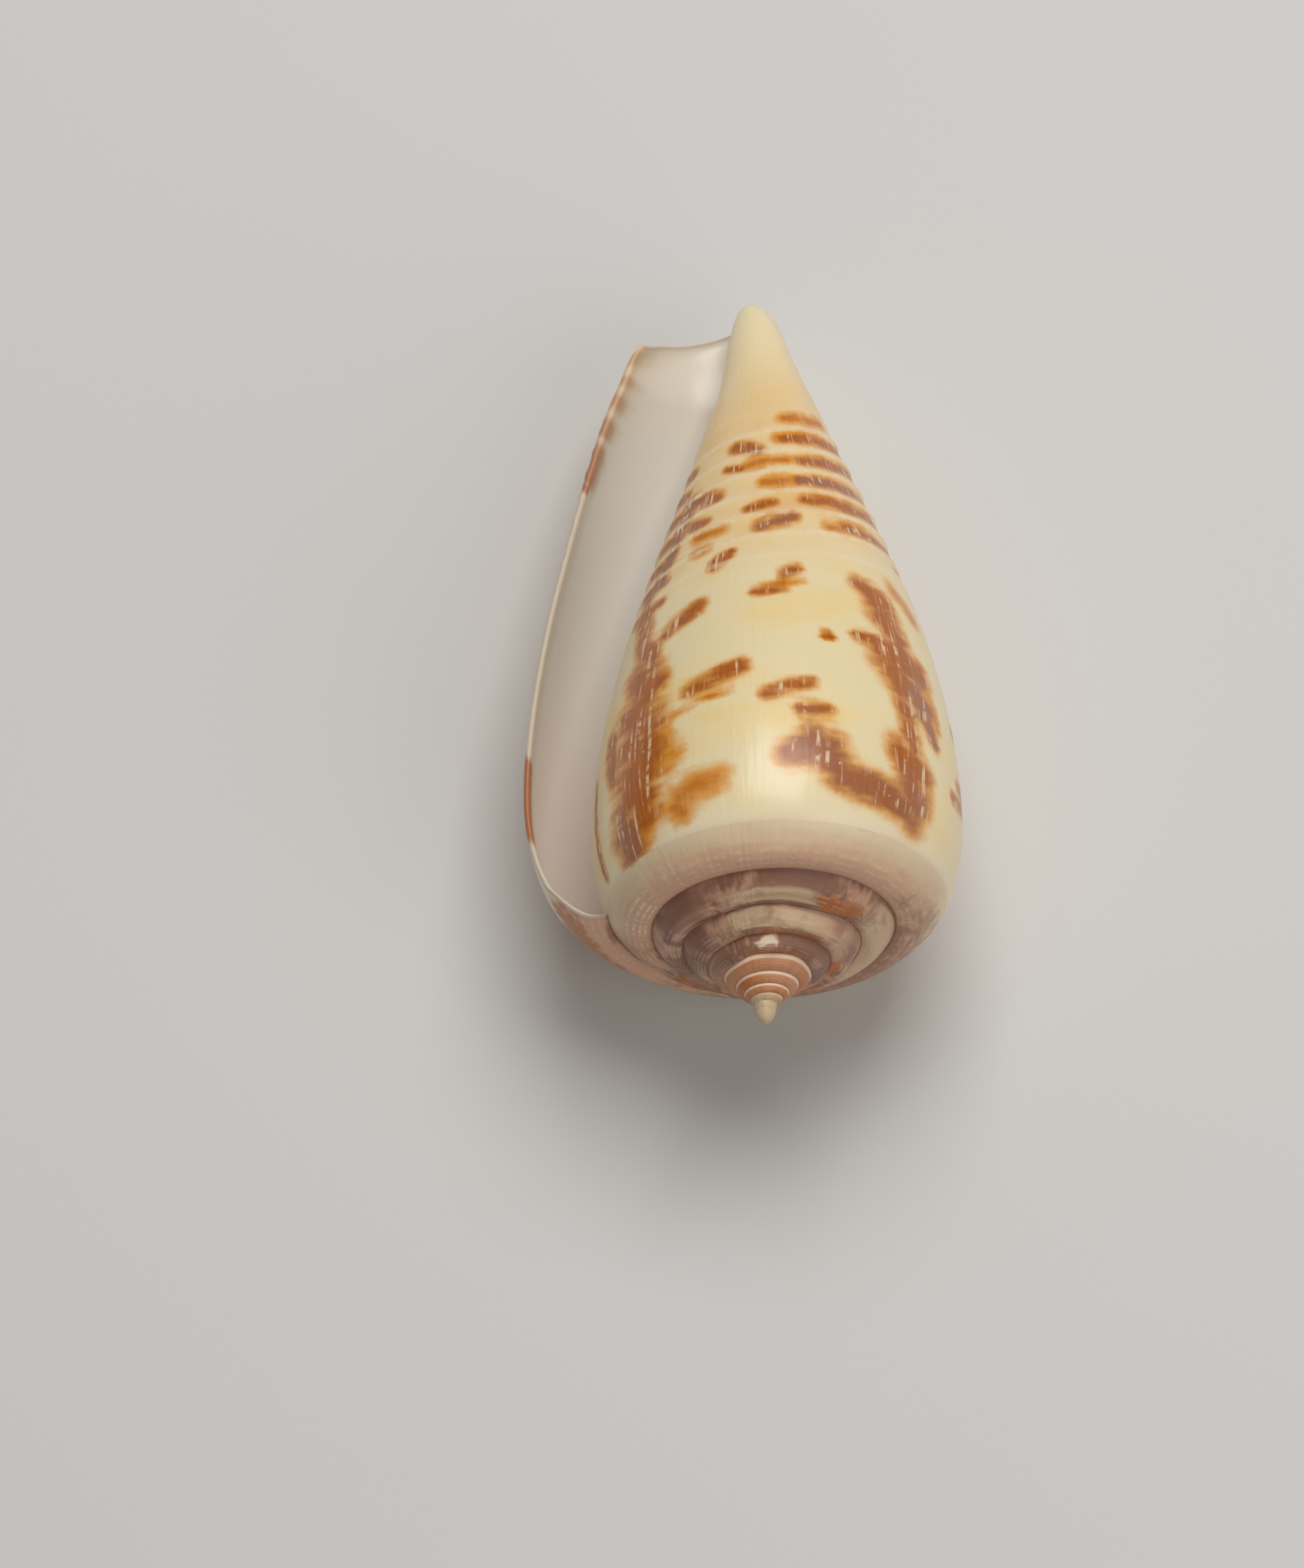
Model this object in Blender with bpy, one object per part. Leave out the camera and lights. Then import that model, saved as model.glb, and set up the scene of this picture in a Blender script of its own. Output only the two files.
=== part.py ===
# Cone shell, grown as one piece and lying on its back with the mouth up.
# The whole surface is one wall that winds round the axis: every turn is a
# larger copy of the turn before it. The script grows that wall step by step.
#
# Growth is counted in turns: 0 is the finished lip, -1 is one turn earlier.
# In the shell's own frame the axis is Y, with the apex at 0 and the front end
# at +Y. Lengths are in millimetres until the shell is laid down at the end.

import math

import bmesh
import bpy
from mathutils import Matrix, Vector

MM = 0.001

# Driving dimensions, in millimetres unless a name says otherwise
SHELL_LENGTH = 37.9
WHORL_GROWTH = 1.40
SUTURE_RADIUS = 5.81
WIDEST = Vector((8.95, 10.2))
NECK = Vector((2.05, 34.3))
LIP_CORNER = Vector((5.25, 35.9))
LIP_THICKNESS = 0.5
WALL_THICKNESS = 1.1

# Rise of the spire: distance from the apex = rise * radius ** power - start
SPIRE_RISE = 1.608
SPIRE_POWER = 0.66
SPIRE_START = 0.12
HATCHLING_RADIUS = 0.5

# Ramps: how far they bulge, and the raised rim of the early whorls
RAMP_BULGE = 0.095
RIM_RISE = 0.12
RIM_FROM_TURN = -0.6
RIM_GROWS_OVER = 1.6
RIM_SHARPNESS = 3

# Handles of the two curves of the side
EDGE_HANDLE = Vector((0.1, 0.15))
SHOULDER_HANDLE = Vector((0.0, 2.4))
BELLY_HANDLE = Vector((0.0, 8.7))
NECK_HANDLE = Vector((2.8, -7.2))

# The front end moves less from turn to turn than the shoulder does
SHIFT_FADES_FROM = 18.0
SHIFT_FADES_OVER = 30.0

# Widening of the front end towards the lip
FLARE = 1.3
FLARE_FROM = 12.5
FLARE_TURNS = 0.6
FLARE_POWER = 3
FLARE_TURN_POWER = 2
OPENING_TURNS = 0.5
LIP_SPREAD = 1.1
LIP_DROP_TURNS = 0.25
LIP_DROP_POWER = 2
NECK_PULL = 0.17
NECK_PULL_POWER = 2
PILLAR_HANDLE = Vector((1.1, -0.15))
LIP_HANDLE = Vector((0.35, -0.75))
FRONT_REACH = 0.4
HEADING_STEP = 0.04

# Spiral ribs on the front third
RIB_PITCH = 1.4
RIB_DEPTH = 0.1
RIBS_FROM = 20.9
RIB_COUNT = 8
RIB_FADE = 2.0
RIB_SHARPNESS = 3
RIB_PHASES = (0.28, 0.5, 0.72)
LIP_RIB_LOSS = 0.65
LIP_RIB_TURNS = 0.12
GLAZED_TURNS = 0.05

# Growth steps, and columns across the wall
STEPS_PER_TURN = 36
FIRST_TURN = -8
RAMP_COLUMNS = (0.0, 0.28, 0.55, 0.8, 1.0)
SHOULDER_STEPS = 7
BELLY_STEPS = 5
FRONT_STEPS = 6
DOME_RINGS = 2

# Mouth
MOUTH_STEPS = 18
MOUTH_DEPTH_TURNS = 0.5
DEEP_TURNS = 0.45
DEEP_FALL = 0.8
CLOSING_TURNS = 0.2
THICKENING_TURNS = 0.2
LEAST_GAP = 0.06
ROOF_BLEND = 4.0
MOUTH_FIRST = 1
RIM_STEPS = 2
RIM_REACH = 0.16
RIM_OPENS_FROM = 0.12
RIM_OPENS_OVER = 0.5
CORNER_BLEND = 0.5
CORNER_TURNS = 0.03

# Resting pose and clean-up
LIFT_DEGREES = 9.0
SPOT_DEPTH = 0.1
SHARP_DEGREES = 50.0
HALVINGS = 40
MERGE = 0.0005


def bezier(points, t):
    """Point at t on a cubic curve given by its ends and two handles."""
    a, b, c, d = points
    s = 1.0 - t
    return a * s ** 3 + 3.0 * b * t * s ** 2 + 3.0 * c * t ** 2 * s + d * t ** 3


def smooth(x):
    """Soft step from 0 to 1."""
    x = min(max(x, 0.0), 1.0)
    return x * x * (3.0 - 2.0 * x)


def cone_height(radius):
    """Distance from the apex at which the grown spire has this radius."""
    return SPIRE_RISE * radius ** SPIRE_POWER - SPIRE_START


def spire_height(radius):
    """The same with the small round first whorl, made before the snail hatched."""
    if radius >= HATCHLING_RADIUS:
        return cone_height(radius)
    rounded = 1.0 - math.sqrt(1.0 - (radius / HATCHLING_RADIUS) ** 2)
    return rounded * cone_height(HATCHLING_RADIUS)


def suture_radius(turn):
    """Radius of the inner suture of the whorl that is laid down at this turn."""
    return SUTURE_RADIUS * WHORL_GROWTH ** (turn + 0.5)


def ramp(turn, across):
    """Shoulder ramp between two sutures: radius and height, across = 0 to 1. The first
    turn starts as a point on the rim of the round first whorl and widens from there."""
    inside = suture_radius(max(turn, FIRST_TURN + 1.0))
    radius = inside * (suture_radius(turn + 1.0) / inside) ** across
    arch = math.sin(math.pi * across) * smooth(turn - FIRST_TURN)
    early = smooth((RIM_FROM_TURN - turn) / RIM_GROWS_OVER)
    rise = inside * arch * (RAMP_BULGE + RIM_RISE * early * across ** RIM_SHARPNESS)
    return Vector((radius, spire_height(radius) - rise))


EDGE = Vector((SUTURE_RADIUS * WHORL_GROWTH, spire_height(SUTURE_RADIUS * WHORL_GROWTH)))


def side(along):
    """Side of the last whorl, half a turn before the lip: 1 to 2 rounds the
    shoulder, 2 to 3 runs down to the neck."""
    if along < 2.0:
        return bezier((EDGE, EDGE + EDGE_HANDLE, WIDEST - SHOULDER_HANDLE, WIDEST), along - 1.0)
    return bezier((WIDEST, WIDEST + BELLY_HANDLE, NECK + NECK_HANDLE, NECK), along - 2.0)


def along_at(height):
    """Where the side between the widest place and the neck has this height."""
    low, high = 2.0, 3.0
    for _ in range(HALVINGS):
        middle = (low + high) / 2.0
        if side(middle).y < height:
            low = middle
        else:
            high = middle
    return middle


def rib_relief(height):
    """How far the surface sinks between the narrow spiral ribs at this height."""
    phase = (height - RIBS_FROM) / RIB_PITCH
    if phase < 0.0 or phase > RIB_COUNT:
        return 0.0
    fade = smooth(phase / RIB_FADE) * smooth((RIB_COUNT - phase) / RIB_FADE)
    rib = 0.5 * (1.0 - math.cos(2.0 * math.pi * phase))
    return RIB_DEPTH * fade * (1.0 - rib ** RIB_SHARPNESS)


def last_half(turn):
    """0 up to half a turn before the lip, rising to 1 at the lip."""
    return min(max(turn / OPENING_TURNS + 1.0, 0.0), 1.0)


def grown_side(turn, along, sunk=0.0):
    """Side of the whorl at any turn, scaled up or down from the driving outline."""
    drawn = side(along)
    scale = WHORL_GROWTH ** (turn + 0.5)
    shifted = spire_height(suture_radius(turn + 1.0)) + (drawn.y - EDGE.y) * scale - drawn.y
    share = min(1.0, 1.0 - (drawn.y - SHIFT_FADES_FROM) / SHIFT_FADES_OVER)
    widen = max(0.0, (drawn.y - FLARE_FROM) / (SHELL_LENGTH - FLARE_FROM)) ** FLARE_POWER
    opening = min(max(turn / FLARE_TURNS + 1.0, 0.0), 1.0) ** FLARE_TURN_POWER
    radius = (drawn.x - sunk) * scale * (1.0 + FLARE * widen * opening)
    return Vector((radius, drawn.y + shifted * share))


def margin(turn):
    """Front edge of the wall: the tip of the pillar, then the rim to the lip corner."""
    opened = last_half(turn)
    radius = LIP_CORNER.x * opened ** LIP_SPREAD
    drop = (SHELL_LENGTH - LIP_CORNER.y) * max(0.0, turn / LIP_DROP_TURNS + 1.0) ** LIP_DROP_POWER
    return Vector((radius, SHELL_LENGTH - drop * smooth(opened)))


def front_end(turn, end, share):
    """Short curve from the end of the side to the front edge."""
    start = grown_side(turn, end)
    stop = margin(turn)
    heading = (start - grown_side(turn, end - HEADING_STEP)).normalized()
    reach = (stop - start).length * FRONT_REACH
    handle = PILLAR_HANDLE.lerp(LIP_HANDLE, last_half(turn))
    return bezier((start, start + heading * reach, stop + handle, stop), share)


def outer(turn, along, relief=1.0):
    """Outer surface: radius and height. along: 0 to 1 ramp, 1 to 3 side, 3 to 4 front end.
    relief 0 leaves the ribs out."""
    if along <= 1.0:
        return ramp(turn, along)
    if along <= 2.0:
        return grown_side(turn, along)
    end = 3.0 - NECK_PULL * last_half(turn) ** NECK_PULL_POWER
    if along > 3.0:
        return front_end(turn, end, along - 3.0)
    lip_loss = LIP_RIB_LOSS * smooth(turn / LIP_RIB_TURNS + 1.0)
    sunk = relief * (1.0 - lip_loss) * rib_relief(side(along).y)
    return grown_side(turn, 2.0 + (along - 2.0) * (end - 2.0), sunk)


def column_list():
    """Steps across the wall from the suture to the front end, three to each rib."""
    ribs_start = along_at(RIBS_FROM)
    columns = list(RAMP_COLUMNS)
    columns += [1.0 + k / SHOULDER_STEPS for k in range(1, SHOULDER_STEPS + 1)]
    columns += [2.0 + (ribs_start - 2.0) * k / BELLY_STEPS for k in range(1, BELLY_STEPS + 1)]
    for rib in range(RIB_COUNT):
        columns += [along_at(RIBS_FROM + (rib + phase) * RIB_PITCH) for phase in RIB_PHASES]
    columns.append(3.0)
    columns += [3.0 + k / FRONT_STEPS for k in range(1, FRONT_STEPS + 1)]
    return columns


COLUMNS = column_list()
LAST_COLUMN = len(COLUMNS) - 1
RAMP_STEPS = len(RAMP_COLUMNS) - 1
FLOOR_FIRST = RAMP_STEPS + 1
PAIRED_UNTIL = 2 * RAMP_STEPS + MOUTH_FIRST


def floor_column(column):
    """Column of the turn before that faces this column of the last turn. The ramp's
    columns share the floor's two by two, because the floor has only the shoulder there."""
    if column >= PAIRED_UNTIL:
        return column
    return FLOOR_FIRST + (column - MOUTH_FIRST) // 2


def mouth_depth(column):
    """How many turns the mouth reaches back over this column of the floor."""
    return MOUTH_DEPTH_TURNS + DEEP_TURNS * smooth((3.0 - COLUMNS[column]) / DEEP_FALL)


def floor_relief(turn):
    """The ribs are glazed over on the turn before, just inside the mouth."""
    return smooth((turn + 1.0) / GLAZED_TURNS + 1.0)


def inner(turn, column):
    """Inner surface of the wall: part of the way from the floor of the mouth to the outside."""
    facing = floor_column(column)
    floor = outer(turn - 1.0, COLUMNS[facing], floor_relief(turn - 1.0))
    span = outer(turn, COLUMNS[column], 0.0) - floor
    thickness = LIP_THICKNESS + (WALL_THICKNESS - LIP_THICKNESS) * smooth(-turn / THICKENING_TURNS)
    closing = smooth((turn + mouth_depth(facing)) / CLOSING_TURNS)
    roof = smooth((column - MOUTH_FIRST) / ROOF_BLEND)
    share = max(LEAST_GAP, 1.0 - thickness / max(span.length, MERGE)) * closing * roof
    return floor + span * share


def place(turn, point):
    """Put a radius and height at the angle of this turn."""
    angle = 2.0 * math.pi * turn
    return Vector((-point.x * math.cos(angle), point.y, point.x * math.sin(angle)))


def outer_point(step, column):
    """Outer surface at a whole growth step."""
    turn = step / STEPS_PER_TURN
    return place(turn, outer(turn, COLUMNS[column]))


def inner_point(step, column):
    """Inner surface of the wall at a step inside the mouth."""
    turn = mouth_depth(floor_column(column)) * step / MOUTH_STEPS
    return place(turn, inner(turn, column))


def floor_point(step, column):
    """Wall of the turn before, which is the floor of the mouth."""
    turn = mouth_depth(column) * step / MOUTH_STEPS - 1.0
    return place(turn, outer(turn, COLUMNS[column], floor_relief(turn)))


def rim_heading(turn, along):
    """Forward in the growth direction along the lip, towards the front on the front edge."""
    forward = place(turn + 0.25, Vector((1.0, 0.0)))
    if turn == 0.0:
        share = 0.5 + 0.5 * smooth((4.0 - along) / CORNER_BLEND)
    else:
        share = 0.5 * smooth(turn / CORNER_TURNS + 1.0)
    return (forward * share + Vector((0.0, 1.0, 0.0)) * (1.0 - share)).normalized()


def rim_point(step, where):
    """Rounded edge between the outer and the inner surface."""
    turn, column = where
    outside = place(turn, outer(turn, COLUMNS[column]))
    inside = place(turn, inner(turn, column))
    half = (outside - inside) * 0.5
    swing = math.pi * step / RIM_STEPS
    opened = smooth((last_half(turn) - RIM_OPENS_FROM) / RIM_OPENS_OVER)
    bulge = min(half.length, RIM_REACH) * opened * math.sin(swing)
    return (outside + inside) * 0.5 + half * math.cos(swing) + rim_heading(turn, COLUMNS[column]) * bulge


def grow(bm, steps, columns, point):
    """Extrude a row of edges step by step and move each new row to its own points."""
    row = [bm.verts.new(point(steps[0], column)) for column in columns]
    edges = [bm.edges.new(pair) for pair in zip(row, row[1:])]
    for step in steps[1:]:
        order = {vert: k for k, vert in enumerate(row)}
        made = bmesh.ops.extrude_edge_only(bm, edges=edges)["geom"]
        row = [None] * len(columns)
        for vert in (item for item in made if isinstance(item, bmesh.types.BMVert)):
            k = next(order[e.other_vert(vert)] for e in vert.link_edges if e.other_vert(vert) in order)
            vert.co = point(step, columns[k])
            row[k] = vert
        edges = [bm.edges.get(pair) for pair in zip(row, row[1:])]


def grow_outside(bm):
    """Exposed ramps of the early whorls, then the whole outer surface of the last whorl."""
    early = range(FIRST_TURN * STEPS_PER_TURN, -STEPS_PER_TURN + 1)
    grow(bm, early, range(RAMP_STEPS + 1), outer_point)
    grow(bm, range(-STEPS_PER_TURN, 1), range(LAST_COLUMN + 1), outer_point)


def grow_mouth(bm):
    """Both sides of the mouth from its closed end out to the lip, and the edge between them."""
    mouth = range(-MOUTH_STEPS, 1)
    grow(bm, mouth, range(MOUTH_FIRST, LAST_COLUMN + 1), inner_point)
    grow(bm, mouth, range(FLOOR_FIRST, LAST_COLUMN + 1), floor_point)
    front = [(step / STEPS_PER_TURN, LAST_COLUMN) for step in range(-STEPS_PER_TURN // 2, 0)]
    lip = [(0.0, column) for column in range(LAST_COLUMN, MOUTH_FIRST - 1, -1)]
    grow(bm, range(RIM_STEPS + 1), front + lip, rim_point)


def weld(bm):
    """Join the turns where they meet, and drop the faces that this folds flat."""
    bmesh.ops.remove_doubles(bm, verts=bm.verts, dist=MERGE)
    bmesh.ops.dissolve_degenerate(bm, dist=MERGE, edges=bm.edges)


def close_ends(bm):
    """Cap the lip's foot on the last whorl, and round off the first whorl."""
    open_edges = [edge for edge in bm.edges if edge.is_boundary]
    caps = bmesh.ops.holes_fill(bm, edges=open_edges, sides=0)["faces"]
    dome = min(caps, key=lambda face: face.calc_center_median().length)
    ring_width = suture_radius(FIRST_TURN + 1.0) / (DOME_RINGS + 1)
    for _ in range(DOME_RINGS):
        bmesh.ops.inset_region(bm, faces=[dome], thickness=ring_width, depth=0.0)
        for vert in dome.verts:
            vert.co.y = spire_height(math.hypot(vert.co.x, vert.co.z))
    centre = bmesh.ops.poke(bm, faces=[dome])["verts"][0]
    centre.co = Vector((0.0, 0.0, 0.0))


def lay_down(bm):
    """Turn the shell onto its back, cut the small worn spot and put the origin on it."""
    lift = Matrix.Rotation(math.radians(-LIFT_DEGREES), 4, "X")
    bmesh.ops.transform(bm, matrix=lift, verts=bm.verts)
    level = min(vert.co.z for vert in bm.verts) + SPOT_DEPTH
    cut = bmesh.ops.bisect_plane(
        bm, geom=bm.verts[:] + bm.edges[:] + bm.faces[:], dist=MERGE,
        plane_co=(0.0, 0.0, level), plane_no=(0.0, 0.0, -1.0), clear_outer=True)
    edges = [item for item in cut["geom_cut"] if isinstance(item, bmesh.types.BMEdge)]
    spot = bmesh.ops.holes_fill(bm, edges=edges, sides=0)["faces"][0]
    bmesh.ops.translate(bm, vec=-spot.calc_center_bounds(), verts=bm.verts)
    bmesh.ops.scale(bm, vec=(MM, MM, MM), verts=bm.verts)


def shell_material():
    """Glossy cream porcelain of the shell."""
    cream = (0.78, 0.66, 0.45, 1.0)
    material = bpy.data.materials.new("cream_porcelain")
    material.use_nodes = True
    surface = material.node_tree.nodes["Principled BSDF"]
    surface.inputs["Base Color"].default_value = cream
    surface.inputs["Roughness"].default_value = 0.3
    surface.inputs["Metallic"].default_value = 0.0
    material.diffuse_color = cream
    return material


def make_shell():
    """Grow the wall, close it, lay it down and make it one object."""
    bm = bmesh.new()
    grow_outside(bm)
    grow_mouth(bm)
    weld(bm)
    close_ends(bm)
    bmesh.ops.triangulate(bm, faces=bm.faces, quad_method="FIXED")
    lay_down(bm)
    bmesh.ops.triangulate(bm, faces=[face for face in bm.faces if len(face.verts) > 3])
    bmesh.ops.recalc_face_normals(bm, faces=bm.faces)
    mesh = bpy.data.meshes.new("shell")
    bm.to_mesh(mesh)
    bm.free()
    mesh.shade_smooth()
    mesh.set_sharp_from_angle(angle=math.radians(SHARP_DEGREES))
    mesh.materials.append(shell_material())
    shell = bpy.data.objects.new("shell", mesh)
    bpy.context.scene.collection.objects.link(shell)


for old in list(bpy.data.objects):
    bpy.data.objects.remove(old, do_unlink=True)

make_shell()
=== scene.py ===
# %% [markdown]
# A cone shell, grown as one piece and lying on its back with the mouth up.
# The frame holds a plain faceted solid of the shell. This script grows the same
# wall again with far finer steps, gives it its glaze and its markings, and lights
# it as a small studio specimen.

# %% Load the frame
import math
import random

import bmesh
import bpy
from mathutils import Matrix, Vector, noise


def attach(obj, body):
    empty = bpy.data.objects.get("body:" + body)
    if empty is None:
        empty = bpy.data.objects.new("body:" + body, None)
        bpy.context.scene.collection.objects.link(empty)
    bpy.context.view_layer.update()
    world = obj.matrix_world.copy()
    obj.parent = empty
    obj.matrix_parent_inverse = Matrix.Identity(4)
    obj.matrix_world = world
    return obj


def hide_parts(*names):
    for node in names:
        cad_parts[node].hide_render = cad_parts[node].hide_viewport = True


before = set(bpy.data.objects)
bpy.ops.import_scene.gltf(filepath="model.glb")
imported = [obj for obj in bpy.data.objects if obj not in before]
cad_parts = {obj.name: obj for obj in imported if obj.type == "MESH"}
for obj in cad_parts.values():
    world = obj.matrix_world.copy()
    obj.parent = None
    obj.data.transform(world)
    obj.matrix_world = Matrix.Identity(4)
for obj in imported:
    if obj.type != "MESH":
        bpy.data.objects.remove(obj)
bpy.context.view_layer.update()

# %% [markdown]
# The shell is measured in millimetres along its own axis: the apex is at 0 and the
# front tip at 37.9. These are the solid's driving dimensions, so the fine surface
# lies on the faceted one, apart from the front corner of the lip. That is a few
# tenths of a millimetre rounder here.

# %% Driving dimensions in millimetres
MM = 0.001
SHELL_LENGTH = 37.9
WHORL_GROWTH = 1.40
SUTURE_RADIUS = 5.81
WIDEST = Vector((8.95, 10.2))
NECK = Vector((2.05, 34.3))
LIP_CORNER = Vector((5.25, 35.9))
LIP_THICKNESS = 0.42
WALL_THICKNESS = 1.1
SPIRE_RISE = 1.608
SPIRE_POWER = 0.66
SPIRE_START = 0.12
HATCHLING_RADIUS = 0.5
RAMP_BULGE = 0.095
RIM_RISE = 0.12
FLARE = 1.3
FLARE_FROM = 12.5
NECK_PULL = 0.17
PILLAR_HANDLE = Vector((1.1, -0.15))
LIP_HANDLE = Vector((0.5, -0.55))
CORNER_DROP = 0.3
CORNER_TURNS = 0.05
LIP_DROP_TURNS = 0.36
OPENING_TURNS = 0.6
SUTURE_WANDER = 0.05
DENT_DEPTH = 0.16
RIB_PITCH = 1.4
RIB_DEPTH = 0.1
RIBS_FROM = 20.9
RIB_COUNT = 8
FIRST_TURN = -9
MOUTH_DEPTH_TURNS = 0.5
DEEP_TURNS = 0.45
LIFT = math.radians(-9.0)
BOX_MARGIN = 0.9985
APEX_PLACE = Vector((0.6556, -14.8275, 11.6138))

# %% [markdown]
# A snail adds shell only at the lip, and every turn is 1.4 times the size of the
# one before. So one outline, scaled by a power of 1.4, gives the wall at any
# moment of growth. Growth is counted in turns: 0 is the finished lip.

# %% Helpers for curves


def smooth(x):
    """Soft step from 0 to 1."""
    x = min(max(x, 0.0), 1.0)
    return x * x * (3.0 - 2.0 * x)


def bezier(points, t):
    """Point at t on a cubic curve given by its ends and two handles."""
    a, b, c, d = points
    s = 1.0 - t
    return a * s ** 3 + 3.0 * b * t * s ** 2 + 3.0 * c * t ** 2 * s + d * t ** 3


def cone_height(radius):
    """Distance from the apex at which the grown spire has this radius."""
    return SPIRE_RISE * radius ** SPIRE_POWER - SPIRE_START


def spire_height(radius):
    """The same with the small round first whorl, made before the snail hatched."""
    if radius >= HATCHLING_RADIUS:
        return cone_height(radius)
    rounded = 1.0 - math.sqrt(1.0 - (radius / HATCHLING_RADIUS) ** 2)
    return rounded * cone_height(HATCHLING_RADIUS)


def worn_share(turn):
    """1 on the worn middle whorls, 0 on the early ones and on the last."""
    return smooth((turn + 4.2) / 0.5) * smooth((-1.0 - turn) / 0.3)


def suture_radius(turn):
    """Radius of the inner suture of the whorl laid down at this turn. The middle
    sutures wander a little, because those whorls are worn."""
    wandering = SUTURE_WANDER * worn_share(turn) * noise.noise(Vector((turn * 9.0, 0.5, 0.5)))
    return SUTURE_RADIUS * WHORL_GROWTH ** (turn + 0.5) * (1.0 + wandering)


def last_half(turn):
    """0 up to half a turn before the lip, rising to 1 at the lip."""
    return min(max(turn + 0.5, 0.0) / 0.5, 1.0)


print("lip suture radius", round(suture_radius(0.0), 2), "mm")

# %% [markdown]
# Fine relief. The shoulder ramps of the early whorls end in a raised white rim
# that makes the spire look stepped. The front third carries narrow spiral ribs
# with wide flat spaces between them. Both could be bump only, but they show in
# the outline, so they are real shape.

# %% Relief of the ramps and the ribs


def ramp(turn, across):
    """Shoulder ramp between two sutures, across = 0 to 1. The first turn starts as a
    point on the rim of the round first whorl and widens from there."""
    inside = suture_radius(max(turn, FIRST_TURN + 1.0))
    radius = inside * (suture_radius(turn + 1.0) / inside) ** across
    arch = math.sin(math.pi * across) * smooth(turn - FIRST_TURN)
    early = smooth((-0.6 - turn) / 1.6)
    rise = inside * arch * (RAMP_BULGE + RIM_RISE * early * across ** 3)
    dents = DENT_DEPTH * worn_share(turn) * noise.noise(Vector((turn * 12.0, across * 2.0, 2.5)))
    return Vector((radius, spire_height(radius) - rise + dents * math.sin(math.pi * across)))


def rib_relief(height):
    """How far the surface sinks between the narrow spiral ribs at this height."""
    phase = (height - RIBS_FROM) / RIB_PITCH
    if phase < 0.0 or phase > RIB_COUNT:
        return 0.0
    fade = smooth(phase / 2.0) * smooth((RIB_COUNT - phase) / 2.0)
    rib = 0.5 * (1.0 - math.cos(2.0 * math.pi * phase))
    return RIB_DEPTH * fade * (1.0 - rib ** 3)


# %% [markdown]
# The side of the last whorl is one outline of two curves: a round shoulder, then a
# long gentle run to the neck. It is drawn half a turn before the lip and grown
# from there. Towards the lip the front end flares open.

# %% Side of the whorl
EDGE = Vector((SUTURE_RADIUS * WHORL_GROWTH, spire_height(SUTURE_RADIUS * WHORL_GROWTH)))


def side(along):
    """1 to 2 rounds the shoulder, 2 to 3 runs down to the neck."""
    if along < 2.0:
        return bezier((EDGE, EDGE + Vector((0.1, 0.15)), WIDEST - Vector((0.0, 2.4)), WIDEST), along - 1.0)
    return bezier((WIDEST, WIDEST + Vector((0.0, 8.7)), NECK + Vector((2.8, -7.2)), NECK), along - 2.0)


def grown_side(turn, along, sunk=0.0):
    """The side at any turn, scaled up or down from the driving outline."""
    drawn = side(along)
    scale = WHORL_GROWTH ** (turn + 0.5)
    shifted = spire_height(suture_radius(turn + 1.0)) + (drawn.y - EDGE.y) * scale - drawn.y
    share = min(1.0, 1.0 - (drawn.y - 18.0) / 30.0)
    widen = max(0.0, (drawn.y - FLARE_FROM) / (SHELL_LENGTH - FLARE_FROM)) ** 3
    opening = min(max(turn + OPENING_TURNS, 0.0) / OPENING_TURNS, 1.0) ** 2
    radius = (drawn.x - sunk) * scale * (1.0 + FLARE * widen * opening)
    return Vector((radius, drawn.y + shifted * share))


# %% [markdown]
# The front edge starts at the tip of the central pillar and runs round to the
# corner of the lip. The wall between the side and this edge is a short curve that
# leaves the side smoothly, blunt at the pillar and flared at the lip.

# %% Outer surface


def margin(turn):
    """Front edge of the wall."""
    opened = last_half(turn)
    radius = LIP_CORNER.x * opened ** 1.1
    falling = max(0.0, 1.0 + turn / LIP_DROP_TURNS) ** 2
    drop = (SHELL_LENGTH - LIP_CORNER.y) * falling * smooth(opened * 1.4)
    corner = CORNER_DROP * smooth(turn / CORNER_TURNS + 1.0)
    return Vector((radius, SHELL_LENGTH - drop - corner))


def outer(turn, along, relief=1.0):
    """Outer surface: 0 to 1 is the ramp, 1 to 3 the side, 3 to 4 the front end.
    relief 0 leaves the ribs out."""
    if along <= 1.0:
        return ramp(turn, along)
    if along <= 2.0:
        return grown_side(turn, along)
    end = 3.0 - NECK_PULL * last_half(turn) ** 2
    if along <= 3.0:
        kept = relief * (1.0 - 0.65 * smooth(turn / 0.12 + 1.0))
        return grown_side(turn, 2.0 + (along - 2.0) * (end - 2.0), kept * rib_relief(side(along).y))
    start = grown_side(turn, end)
    heading = (start - grown_side(turn, end - 0.04)).normalized()
    stop = margin(turn)
    reach = (stop - start).length * 0.4
    blunt = PILLAR_HANDLE.lerp(LIP_HANDLE, last_half(turn))
    return bezier((start, start + heading * reach, stop + blunt, stop), along - 3.0)


# %% [markdown]
# Now the steps. Around the axis 180 steps a turn give facets a third of a
# millimetre long. Across the wall the columns are close together where the shape
# turns quickly: on the ramp, the shoulder, the ribs and the front end.

# %% Steps and columns
STEPS_PER_TURN = 180
MOUTH_STEPS = 90
RIM_STEPS = 6
RIM_REACH = 0.16
RAMP_STEPS = 12


def spread(start, end, count):
    """Even steps after start, up to and with end."""
    return [start + (end - start) * k / count for k in range(1, count + 1)]


RAMP_COLUMNS = [0.0] + spread(0.0, 1.0, RAMP_STEPS)
SIDE_COLUMNS = spread(1.0, 1.6, 14) + spread(1.6, 2.0, 10) + spread(2.0, 2.44, 26)
SIDE_COLUMNS += spread(2.44, 3.0, 86) + spread(3.0, 4.0, 24)
COLUMNS = RAMP_COLUMNS + SIDE_COLUMNS
LAST_COLUMN = len(COLUMNS) - 1
print("columns", len(COLUMNS))

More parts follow.
